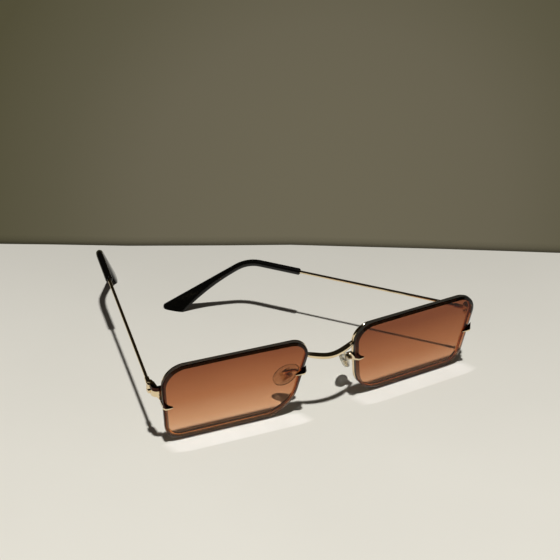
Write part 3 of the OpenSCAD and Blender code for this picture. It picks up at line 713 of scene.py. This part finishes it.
def cut_away(piece, cutters):
    for cutter in cutters:
        cut = piece.modifiers.new("room", "BOOLEAN")
        cut.operation = "DIFFERENCE"
        cut.solver = "EXACT"
        cut.object = cutter
    apply_modifiers(piece)
    for cutter in cutters:
        bpy.data.objects.remove(cutter)


cut_away(bridge, [lens_room(side) for side in SIDES])
finish_mesh(bridge.data, 40.0)
stand(bridge, "front", "gold_metal", "bridge")

# %% [markdown]
# The claws, the end pieces, the hinges and the pad boxes are small stamped and milled
# pieces whose CAD shape is right but has razor edges. Real ones are tumbled, so a copy of
# each solid gets its loose triangles merged, its flat faces joined again, and every
# sharp edge rounded. The top quarter of an end piece takes the gold with painted shade.

# %% Tumbled metal pieces
SHADED_FROM = 0.74
SAME_PLACE, SAME_PLANE_DEG = 2e-6, 1.0
SHARP_DEG, SMOOTH_DEG = 35.0, 24.0


def shade_line(shape):
    """Cuts an end piece's faces where their upper part with painted shade begins, and says how high."""
    heights = [corner.co.z for corner in shape.verts]
    line = min(heights) + (max(heights) - min(heights)) * SHADED_FROM
    everything = shape.verts[:] + shape.edges[:] + shape.faces[:]
    bmesh.ops.bisect_plane(shape, geom=everything, plane_co=(0, 0, line), plane_no=(0, 0, 1))
    return line


def tumbled(node, width_mm):
    """A copy of a CAD piece with its sharp edges rounded by that width."""
    piece = nodes[node].copy()
    piece.data = nodes[node].data.copy()
    piece.name = f"{node}_tumbled"
    piece.parent = None
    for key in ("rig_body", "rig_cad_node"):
        if key in piece:
            del piece[key]
    scene.collection.objects.link(piece)
    shape = bmesh.new()
    shape.from_mesh(piece.data)
    bmesh.ops.remove_doubles(shape, verts=shape.verts, dist=SAME_PLACE)
    bmesh.ops.dissolve_limit(shape, angle_limit=math.radians(SAME_PLANE_DEG),
                             verts=shape.verts, edges=shape.edges)
    line = shade_line(shape) if "end_piece" in node else None
    shape.to_mesh(piece.data)
    shape.free()
    piece.data.materials.clear()
    piece.data.materials.append(gold)
    soften(piece, width_mm * MM, segments=4, angle_deg=SHARP_DEG)
    if line is not None:
        # The faces above the line get painted shade.
        piece.data.materials.append(gold_with_painted_shade)
        for face in piece.data.polygons:
            face.material_index = 1 if face.center.z > line else 0
    finish_mesh(piece.data, SMOOTH_DEG)
    return piece


# %% [markdown]
# In the photograph each claw is a fang: a long slope catches the dark room above, and a
# narrow lip under it catches the pale table. The CAD's claw has a flat tab there. A loft
# of six-sided sections takes its place, because the lip and the slope both narrow to the
# point and only sections can follow them.

# %% The claws' fangs
CLAW_H, CLAW_REACH, CLAW_T, POINT_H, CLAW_WAIST = 3.8, 3.3, 0.7, 0.5, (1.65, 1.52)
CLAWS = {"nose_claw": (-1, 1.7, 0.0), "temple_claw": (1, TEMPLE_CLAW_V, NOTCH)}
FACE = BEVEL_H + LENS_CLEAR
FANG_TOP, FANG_LIP = (1.25, 0.45), (1.25, 0.34)
FANG_HEEL, HEEL_SHARE, FANG_THIN = 0.12, 0.22, 0.14
LIP_FOOT, LIP_START, LIP_MOST = 0.06, 0.38, 0.72


def fang_section(way, low, s, out):
    """A section of the fang at s millimetres in from the lens edge, as lens-plane places."""
    share = max(0.0, s) / CLAW_REACH
    h = float(np.interp(s, (-out, 0.0, CLAW_WAIST[0], CLAW_REACH),
                        (CLAW_BAND, CLAW_H, CLAW_WAIST[1], POINT_H)))
    proud = FANG_TOP[0] + (FANG_TOP[1] - FANG_TOP[0]) * share ** 1.5
    proud *= float(np.interp(s, (-out - FANG_HEEL, 0.1), (HEEL_SHARE, 1.0)))
    lip = FANG_LIP[0] + (FANG_LIP[1] - FANG_LIP[0]) * share
    lip = min(lip, LIP_MOST * h)
    slant = max(0.0, 1 - max(0.0, s) / CLAW_WAIST[0])
    edge = temple_edge if way > 0 else nose_edge
    section = [(low + LIP_FOOT, 0.0), (low, HEEL_SHARE * proud), (low + LIP_START * lip, proud),
               (low + lip, proud), (low + h, FANG_THIN), (low + h, 0.0)]
    places = []
    for v, front in section:
        u = edge(low) + (edge(v) - edge(low)) * slant - way * s
        places.append(lens_at(u, v, FACE + front))
    return places


# %% [markdown]
# A Boolean takes the flat tab off in front of the lens, and the fang is joined where it
# was. Faces that look up or to the front take the gold with painted shade, and the lip
# stays bright.

# %% From tab to fang
TAB_LEFT = 0.12
ROOM_ASIDE, ROOM_BELOW, ROOM_ABOVE, ROOM_AHEAD = 6.0, 2.0, 6.0, 3.0
FANG_STOPS = (0.4, 0.8, 1.2, 1.65, 2.1, 2.5, 2.9, 3.2, CLAW_REACH)
LOOKS_UP, LOOKS_BACK = -0.05, 0.3


def box_piece(name, corner_low, corner_high, side):
    """A box between two places of the lens plane."""
    (u0, v0, f0), (u1, v1, f1) = corner_low, corner_high
    around = ((u0, v0), (u1, v0), (u1, v1), (u0, v1))
    rings = [[placed(lens_at(u, v, f), side) for u, v in around] for f in (f0, f1)]
    points, faces = loft(rings)
    return new_piece(name, points, faces, gold)


def sharpen(piece, side, kind):
    """Takes the flat tab off a claw and joins a fang in its place."""
    way, low, notch = CLAWS[kind]
    edge = temple_edge(low) if way > 0 else nose_edge(low)
    out = LENS_CLEAR - notch + CLAW_T
    cut_away(piece, [box_piece("tab_room", (edge - ROOM_ASIDE, low - ROOM_BELOW, FACE + TAB_LEFT),
                               (edge + ROOM_ASIDE, low + ROOM_ABOVE, FACE + ROOM_AHEAD), side)])
    stops = [-out - FANG_HEEL, -out, -0.5 * out, 0.0, *FANG_STOPS]
    rings = [[placed(place, side) for place in fang_section(way, low, s, out)] for s in stops]
    points, faces = loft(rings)
    fang = new_piece("fang", points, faces, gold, smooth_deg=SMOOTH_DEG)
    soften(fang, 0.07 * MM, segments=3, angle_deg=SMOOTH_DEG)
    shape = bmesh.new()
    shape.from_mesh(piece.data)
    shape.from_mesh(fang.data)
    shape.to_mesh(piece.data)
    shape.free()
    bpy.data.objects.remove(fang)
    finish_mesh(piece.data, SMOOTH_DEG)
    # Upward and forward faces get painted shade.
    piece.data.materials.append(gold_with_painted_shade)
    for face in piece.data.polygons:
        shaded = face.normal.z > LOOKS_UP and face.normal.y < LOOKS_BACK
        face.material_index = 1 if shaded else 0


# %% [markdown]
# Each small piece gets the rounding that its size bears, from half a millimetre on the
# broad end piece to a few hundredths on a screw. The width is in millimetres, and every
# copy stands for one CAD node on the body that the node rides on.

# %% The small pieces
FRONT_PIECES = {"nose_claw": 0.1, "temple_claw": 0.1, "end_piece": 0.55, "hinge_front": 0.25,
                "hinge_screw": 0.06, "pad_box": 0.08, "pad_screw": 0.04}
for side in SIDES:
    for kind, width in FRONT_PIECES.items():
        piece = tumbled(f"{side}_{kind}", width)
        if "claw" in kind:
            sharpen(piece, side, kind)
        stand(piece, "front", "gold_metal", f"{side}_{kind}")
    stand(tumbled(f"{side}_hinge_back", 0.08), f"{side}_arm", "gold_metal", f"{side}_hinge_back")
    stand(tumbled(f"{side}_pad_core", 0.06), f"{side}_pad", "gold_metal", f"{side}_pad_core")

# %% [markdown]
# Each temple is a straight wire that bends down inside its tip. As the pair stands, the
# temples are folded in by different angles, rise a little towards the back and lean
# inwards, and the bend is whatever sets the end of the tip on the table. The path is
# written in the temple's own frame, where y runs along the wire, and then turned.

# %% The temple's path
HINGE_OUT, HINGE_BEHIND, HINGE_V = 1.9, 7.0, 5.6
hinge = lens_at(temple_edge(HINGE_V), HINGE_V, 0.0) + np.array([HINGE_OUT, HINGE_BEHIND, 0.0])
BEND_Y, TIP_START, WIRE_D, HOOK_L, BEND_R = 95.0, 71.1, 1.3, 43.0, 16.0
RISE = {"right": math.radians(3.7), "left": math.radians(0.1)}
FOLD = {"right": math.radians(8.7), "left": math.radians(42.8)}
LEAN = {"right": math.radians(20.5), "left": math.radians(31.5)}
WIRE_START, WIRE_PAST_BEND = 2.9, 12.0
BEND_STEPS = 24


def turned(point, axis, angle):
    """A point turned about one axis of its frame."""
    i, j = {"x": (1, 2), "y": (2, 0), "z": (0, 1)}[axis]
    out = list(point)
    out[i] = point[i] * math.cos(angle) - point[j] * math.sin(angle)
    out[j] = point[i] * math.sin(angle) + point[j] * math.cos(angle)
    return out


def on_wire(point, side):
    """A point of the temple's own frame, in millimetres, as a place of the pair."""
    for axis, angle in (("y", LEAN[side]), ("x", RISE[side]), ("z", FOLD[side])):
        point = turned(point, axis, angle)
    return placed(np.array(point) + hinge, side)


def bend_of(side):
    """The bend, in radians, that sets the end of the tip on the table."""
    a, b = math.cos(LEAN[side]) * math.cos(RISE[side]), math.sin(RISE[side])
    corner_z = hinge[2] + BEND_Y * math.sin(RISE[side])
    return math.asin(corner_z / (HOOK_L * math.hypot(a, b))) + math.atan2(b, a)


def wire_at(side, travel):
    """(y, z, angle below level) at a distance along the wire from the hinge."""
    bend = bend_of(side)
    start, length = BEND_Y - BEND_R * math.tan(bend / 2), BEND_R * bend
    angle = min(bend, max(0.0, (travel - start) / length * bend))
    past = max(0.0, travel - start - length)
    return (min(travel, start) + BEND_R * math.sin(angle) + past * math.cos(angle),
            -BEND_R * (1 - math.cos(angle)) - past * math.sin(angle), angle)


for side in SIDES:
    bend_start = BEND_Y - BEND_R * math.tan(bend_of(side) / 2)
    bend_end = bend_start + BEND_R * bend_of(side)
    stops = [WIRE_START, *np.linspace(bend_start, bend_end, BEND_STEPS), bend_end + WIRE_PAST_BEND]
    path = [on_wire((0.0, *wire_at(side, t)[:2]), side) for t in stops]
    wire = bend_wire(f"{side}_temple_bent_wire", path, [WIRE_D / 2 * MM] * len(path), sides=24)
    stand(wire, f"{side}_arm", "gold_metal", f"{side}_temple_wire")
    print(side, "bend", round(math.degrees(bend_of(side)), 2))

# %% [markdown]
# A tip starts as a round sleeve with a soft nose, follows the bend, and then widens into
# a flat paddle. It is one loft of rings across the wire's path. The paddle's end is cut
# level, because the pair stands on it, and the cut edge is rounded a little.

# %% The tips
TIP_D, PADDLE_W, PADDLE_T, NOSE_R, END_R = 2.9, 9.4, 2.3, 0.75, 1.2
TIP_SIDES, ROUND_STEPS, PADDLE_STEPS = 48, 8, 30


def tip_ring(side, travel, above, below, half_t):
    """An oval ring across the wire, with its reach above, below and aside of it."""
    y, z, angle = wire_at(side, travel)
    ring = []
    for i in range(TIP_SIDES):
        t = 2 * math.pi * i / TIP_SIDES
        reach = (above if math.sin(t) > 0 else below) * math.sin(t)
        point = (half_t * math.cos(t), y + reach * math.sin(angle), z + reach * math.cos(angle))
        ring.append(on_wire(point, side))
    return ring


def tip_rings(side):
    r, widening = TIP_D / 2, PADDLE_W - TIP_D
    start = BEND_Y - BEND_R * math.tan(bend_of(side) / 2)
    end = start + BEND_R * bend_of(side)
    paddle_l = HOOK_L - BEND_R * math.tan(bend_of(side) / 2)
    rings = []
    for k in range(ROUND_STEPS + 1):
        a = math.pi / 2 * k / ROUND_STEPS
        reach = r - NOSE_R * (1 - math.sin(a))
        rings.append(tip_ring(side, TIP_START + NOSE_R * (1 - math.cos(a)), reach, reach, reach))
    rings += [tip_ring(side, t, r, r, r) for t in np.linspace(start, end, BEND_STEPS + 1)]
    for share in np.linspace(0, 1, PADDLE_STEPS + 1)[1:]:
        rings.append(tip_ring(side, end + (paddle_l - END_R) * share, r, r + widening * share ** 2,
                              r + (PADDLE_T / 2 - r) * share))
    for k in range(1, ROUND_STEPS + 1):
        a = math.pi / 2 * k / ROUND_STEPS
        draw = END_R * (1 - math.cos(a))
        rings.append(tip_ring(side, end + paddle_l - END_R + END_R * math.sin(a), r - draw,
                              r + widening - draw, PADDLE_T / 2 - draw / 2))
    return rings


def cut_level(piece, height):
    """Takes away what lies below a height, and closes the cut."""
    shape = bmesh.new()
    shape.from_mesh(piece.data)
    everything = shape.verts[:] + shape.edges[:] + shape.faces[:]
    cut = bmesh.ops.bisect_plane(shape, geom=everything, plane_co=(0, 0, height),
                                 plane_no=(0, 0, -1), clear_outer=True)
    cut_edges = [e for e in cut["geom_cut"] if isinstance(e, bmesh.types.BMEdge)]
    bmesh.ops.holes_fill(shape, edges=cut_edges)
    shape.to_mesh(piece.data)
    shape.free()


for side in SIDES:
    points, faces = loft(tip_rings(side))
    tip = new_piece(f"{side}_tip_moulding", points, faces, black, smooth_deg=50.0)
    cut_level(tip, 0.0)
    soften(tip, 0.12 * MM, segments=3, angle_deg=50.0)
    finish_mesh(tip.data, 45.0)
    stand(tip, f"{side}_arm", "black_tip", f"{side}_temple_tip")

# %% [markdown]
# A nose pad is an egg-shaped lens of silicone, flatter on the metal's side. Its section
# is drawn by a few shares of its full size, and a smooth curve runs through them. The
# pads rock on their screws, so they have a frame of their own, turned three ways.

# %% The nose pads
PAD_L, PAD_W, PAD_T, PAD_SET, PAD_OUT = 13.0, 7.4, 2.7, 2.3, 2.7
PAD_SIDE, PAD_BEHIND, PAD_DROP = 2.0, 6.2, 2.2
PAD_SPLAY, PAD_FLARE, PAD_LEAN = math.radians(29), math.radians(20), math.radians(42)
PAD_FULL = [0.78, 0.95, 1.0, 0.97, 0.86, 0.62, 0.3]
PAD_DEPTH = [0.0, 0.12, 0.32, 0.55, 0.78, 0.93, 1.0]
PAD_TOP_SHARE, PAD_SIDES = 0.8, 64
pad_place = np.array([LENS_GAP / 2 + PAD_SIDE, PAD_BEHIND, LENS_Z - PAD_DROP])


def pad_at(point):
    """A point of the pad's own frame as a left place, in millimetres."""
    for axis, angle in (("x", PAD_LEAN), ("y", -PAD_FLARE), ("z", -PAD_SPLAY)):
        point = turned(point, axis, angle)
    return np.array(point) + pad_place


def through(values, steps):
    """A smooth run through the values, with the given steps between each two."""
    values = [2 * values[0] - values[1], *values, 2 * values[-1] - values[-2]]
    out = []
    for a, b, c, d in zip(values, values[1:], values[2:], values[3:]):
        for t in np.arange(steps) / steps:
            out.append(0.5 * (2 * b + (c - a) * t + (2 * a - 5 * b + 4 * c - d) * t ** 2
                              + (3 * b - a - 3 * c + d) * t ** 3))
    return [*out, values[-2]]


def pad_ring(full, x):
    ring = []
    for i in range(PAD_SIDES):
        a = 2 * math.pi * i / PAD_SIDES
        narrow = 1 - (1 - PAD_TOP_SHARE) * (1 + math.sin(a)) / 2
        ring.append((x, PAD_W / 2 * full * narrow * math.cos(a),
                     -PAD_SET + PAD_L / 2 * full * math.sin(a)))
    return ring


for side in SIDES:
    rings = []
    for full, depth in zip(through(PAD_FULL, 5), through(PAD_DEPTH, 5)):
        ring = pad_ring(min(full, 1.0), PAD_T / 2 - PAD_OUT - PAD_T * depth)
        rings.append([placed(pad_at(p), side) for p in ring])
    points, faces = loft(rings)
    pad = new_piece(f"{side}_pad_moulding", points, faces, silicone, smooth_deg=60.0)
    stand(pad, f"{side}_pad", "clear_pad", f"{side}_nose_pad")

# %% [markdown]
# The pad arm is thin wire. It leaves the rim straight back, loops over and comes square
# onto the box that holds the pad, so one cubic curve with four points draws it.

# %% The pad arms
ARM_D, ARM_V, ARM_OUT, ARM_LIFT, ARM_STEPS = 0.9, 0.4, 3.0, 1.6, 48
BOX_BACK, BOX_FLOOR = 1.75, 0.6
arm_from = lens_at(nose_edge(ARM_V) + RIM_IN_NOSE, ARM_V, -RIM_DEPTH)
arm_points = [arm_from, arm_from + np.array([0.0, ARM_OUT, ARM_LIFT]),
              pad_at([BOX_BACK + ARM_OUT, 0.0, 0.0]), pad_at([BOX_BACK - BOX_FLOOR / 2, 0.0, 0.0])]
for side in SIDES:
    path = []
    for t in np.linspace(0, 1, ARM_STEPS):
        shares = ((1 - t) ** 3, 3 * (1 - t) ** 2 * t, 3 * (1 - t) * t ** 2, t ** 3)
        path.append(placed(sum(w * p for w, p in zip(shares, arm_points)), side))
    arm = bend_wire(f"{side}_pad_arm_wire", path, [ARM_D / 2 * MM] * len(path), sides=20)
    stand(arm, "front", "gold_metal", f"{side}_pad_arm")

# %% [markdown]
# The floor is a pale board that ends behind the pair. Its back edge isn't quite straight
# in the photograph, so it is a chain of a few points, given by their distance along the
# edge and how far behind it they lie. One flat face with those corners is enough.

# %% The board
FLOOR_EDGE = Vector((0.0445, 0.0575, 0.0))
FLOOR_ALONG, FLOOR_AHEAD = Vector((0.9083, -0.4183, 0.0)), Vector((-0.4183, -0.9083, 0.0))
FLOOR_HALF, FLOOR_DEPTH = 0.45, 0.36
BACK_EDGE = ((-0.45, 0.0007), (-0.11, 0.0012), (-0.074, 0.0008), (-0.026, 0.0025), (0.004, 0.0039),
             (0.035, 0.0029), (0.078, 0.0016), (0.108, 0.0003), (0.133, -0.0009), (0.45, -0.012))


def on_board(along, ahead, height=0.0):
    """A place by its distances along the board's back edge, ahead of it and above it."""
    return tuple(FLOOR_EDGE + FLOOR_ALONG * along + FLOOR_AHEAD * ahead + Vector((0, 0, height)))


back = [on_board(along, -behind) for along, behind in BACK_EDGE]
floor_points = [on_board(-FLOOR_HALF, FLOOR_DEPTH), on_board(FLOOR_HALF, FLOOR_DEPTH), *back[::-1]]
floor_mesh = bpy.data.meshes.new("floor")
floor_mesh.from_pydata(floor_points, [], [tuple(range(len(floor_points)))])
floor_mesh.materials.append(board)
floor = bpy.data.objects.new("floor", floor_mesh)
scene.collection.objects.link(floor)
print("the board's back edge has", len(BACK_EDGE), "points")

# %% [markdown]
# Where the board ends, the photograph shows a soft dark line: the shade of the gap behind
# it. A low strip of painted shade stands along the edge for it. Its finish is a dark shader
# that fades upwards into a clear one, so the strip has no upper edge of its own.

# %% The gap behind the board
GAP_HEIGHT = 0.005
gap_shade, graph, unused = new_finish("painted shade of the gap behind the board")
graph.nodes.remove(unused)
dark = graph.nodes.new("ShaderNodeBsdfDiffuse")
dark.inputs["Color"].default_value = (0.01, 0.009, 0.007, 1.0)
clear = graph.nodes.new("ShaderNodeBsdfTransparent")
mixed = graph.nodes.new("ShaderNodeMixShader")
depth = ramp(graph, remap(graph, coordinate(graph, "Z"), 0.0, GAP_HEIGHT, 0.0, 1.0), [
    (0.0, (0.70, 0.70, 0.70)),
    (0.2, (0.50, 0.50, 0.50)),
    (0.4, (0.27, 0.27, 0.27)),
    (0.6, (0.14, 0.14, 0.14)),
    (1.0, (0.0, 0.0, 0.0)),
])
join(graph, depth, mixed.inputs["Fac"])
join(graph, clear.outputs["BSDF"], mixed.inputs[1])
join(graph, dark.outputs["BSDF"], mixed.inputs[2])
join(graph, mixed.outputs["Shader"], graph.nodes["Material Output"].inputs["Surface"])
gap_mesh = bpy.data.meshes.new("gap")
raised = [on_board(along, -behind, GAP_HEIGHT) for along, behind in BACK_EDGE]
count = len(back)
gap_mesh.from_pydata(back + raised, [], [(i, i + 1, count + i + 1, count + i) for i in range(count - 1)])
gap_mesh.materials.append(gap_shade)
gap = bpy.data.objects.new("gap", gap_mesh)
gap.visible_shadow = gap.visible_glossy = gap.visible_diffuse = False
scene.collection.objects.link(gap)
tell(gap_shade)

# %% [markdown]
# Beyond the board the room is a dull olive grey. It is the background, whose colour
# depends on the direction alone: olive below eye level, nearly black above, and a little
# brighter straight behind the pair. The dark upper half is what the metal mirrors.

# %% The room
GLOW_DIRECTION, GLOW_EDGE = (0.463, 0.771, -0.437), 0.955
world = scene.world or bpy.data.worlds.new("room")
scene.world = world
world.use_nodes = True
graph = world.node_tree
room = graph.nodes["Background"]
direction = graph.nodes.new("ShaderNodeTexCoord").outputs["Generated"]
walls = ramp(graph, remap(graph, coordinate(graph, "Z", direction), -0.4, 0.6, 0.0, 1.0), [
    (0.0, (0.150, 0.133, 0.087)),
    (0.36, (0.155, 0.138, 0.091)),
    (0.44, (0.020, 0.016, 0.012)),
    (1.0, (0.020, 0.017, 0.014)),
])
towards_glow = vector_step(graph, "DOT_PRODUCT", direction, GLOW_DIRECTION)
shade = ramp(graph, remap(graph, towards_glow, GLOW_EDGE, 1.0, 0.0, 1.0), [
    (0.0, (0.56, 0.57, 0.47)),
    (0.45, (0.74, 0.75, 0.70)),
    (0.75, (0.92, 0.92, 0.92)),
    (1.0, (1.0, 1.0, 1.0)),
])
join(graph, multiplied(graph, walls, shade), room.inputs["Color"])
room.inputs["Strength"].default_value = 1.0
print("the room's background has", len(graph.nodes), "nodes")

# %% [markdown]
# One strong key light stands almost straight above, so the wires throw thin crisp shadows
# close beside themselves. Its slope was found from where the photograph's shadows lie. A
# weak fill light as wide as the sky softens the shadows, and no metal mirrors it.

# %% The lights
LIGHT_SLOPE = (0.09, 0.22)


def sun(name, width_deg, strength, colour):
    """A light from far away that shines straight down until it is turned."""
    data = bpy.data.lights.new(name, "SUN")
    data.angle = math.radians(width_deg)
    data.energy = strength
    data.color = colour
    light = bpy.data.objects.new(name, data)
    scene.collection.objects.link(light)
    print(name, "light:", strength, "strong,", width_deg, "degrees wide")
    return light


key = sun("key", 2.6, 3.15, (1.0, 0.985, 0.93))
key.rotation_euler = Vector((*LIGHT_SLOPE, -1.0)).to_track_quat("-Z", "Y").to_euler()
fill = sun("fill", 150, 0.125, (1.0, 0.91, 0.84))
fill.visible_glossy = False

# %% [markdown]
# Sunlight that glances off the front of each lens lands on the board before it, and here
# that light is painted on the board as emission. The lens is flat, so every place on the
# board belongs to one place of the lens, and the lens's own outline, worked out there,
# marks the painted patch of light. The two painted patches only add light.

# %% The painted glow in front of the lenses
GLANCE = np.array([0.09, -0.13, -1.0])
GLOW_R, GLOW_SOFT = 7.5, 1.8
GLOW_STRENGTH = {"right": 0.19, "left": 0.14}


def landing(u, v, side):
    """Where light from a place of a lens lands on the board, in metres."""
    place = np.array(placed(lens_at(u, v, 0.0), side))
    return (place - GLANCE * place[2] / GLANCE[2])[:2]


def painted_glow(graph, side):
    """How much painted light one lens adds to the board as emission: nothing outside its patch."""
    middle = landing(0, 0, side)
    steps = np.array([landing(1, 0, side) - middle, landing(0, 1, side) - middle])
    to_lens = np.linalg.inv(steps.T)
    lens_place = graph.nodes.new("ShaderNodeCombineXYZ")
    for row, shift, socket in zip(to_lens, -to_lens @ middle, ("X", "Y")):
        along = vector_step(graph, "DOT_PRODUCT", place_input(graph), (*map(float, row), 0.0))
        join(graph, arithmetic(graph, "ADD", along, float(shift)), lens_place.inputs[socket])
    folded = vector_step(graph, "ABSOLUTE", lens_place.outputs["Vector"])
    beyond = vector_step(graph, "SUBTRACT", folded, (LENS_W / 2 - GLOW_R, LENS_H / 2 - GLOW_R, 0.0))
    outside = vector_step(graph, "LENGTH", vector_step(graph, "MAXIMUM", beyond, (0.0, 0.0, 0.0)))
    return remap(graph, outside, GLOW_R - GLOW_SOFT, GLOW_R + GLOW_SOFT, GLOW_STRENGTH[side], 0.0)


graph = board.node_tree
shader = graph.nodes["Principled BSDF"]
painted_glow_streaks = remap(graph, noise(graph, 60.0, detail=3.0), 0.3, 0.7, 0.6, 1.0)
painted_glow_light = arithmetic(graph, "ADD", painted_glow(graph, "right"), painted_glow(graph, "left"))
# The painted light's colour and strength, given as emission of the board.
shader.inputs["Emission Color"].default_value = (1.0, 0.94, 0.98, 1.0)
join(graph, arithmetic(graph, "MULTIPLY", painted_glow_light, painted_glow_streaks), shader.inputs["Emission Strength"])
tell(board)
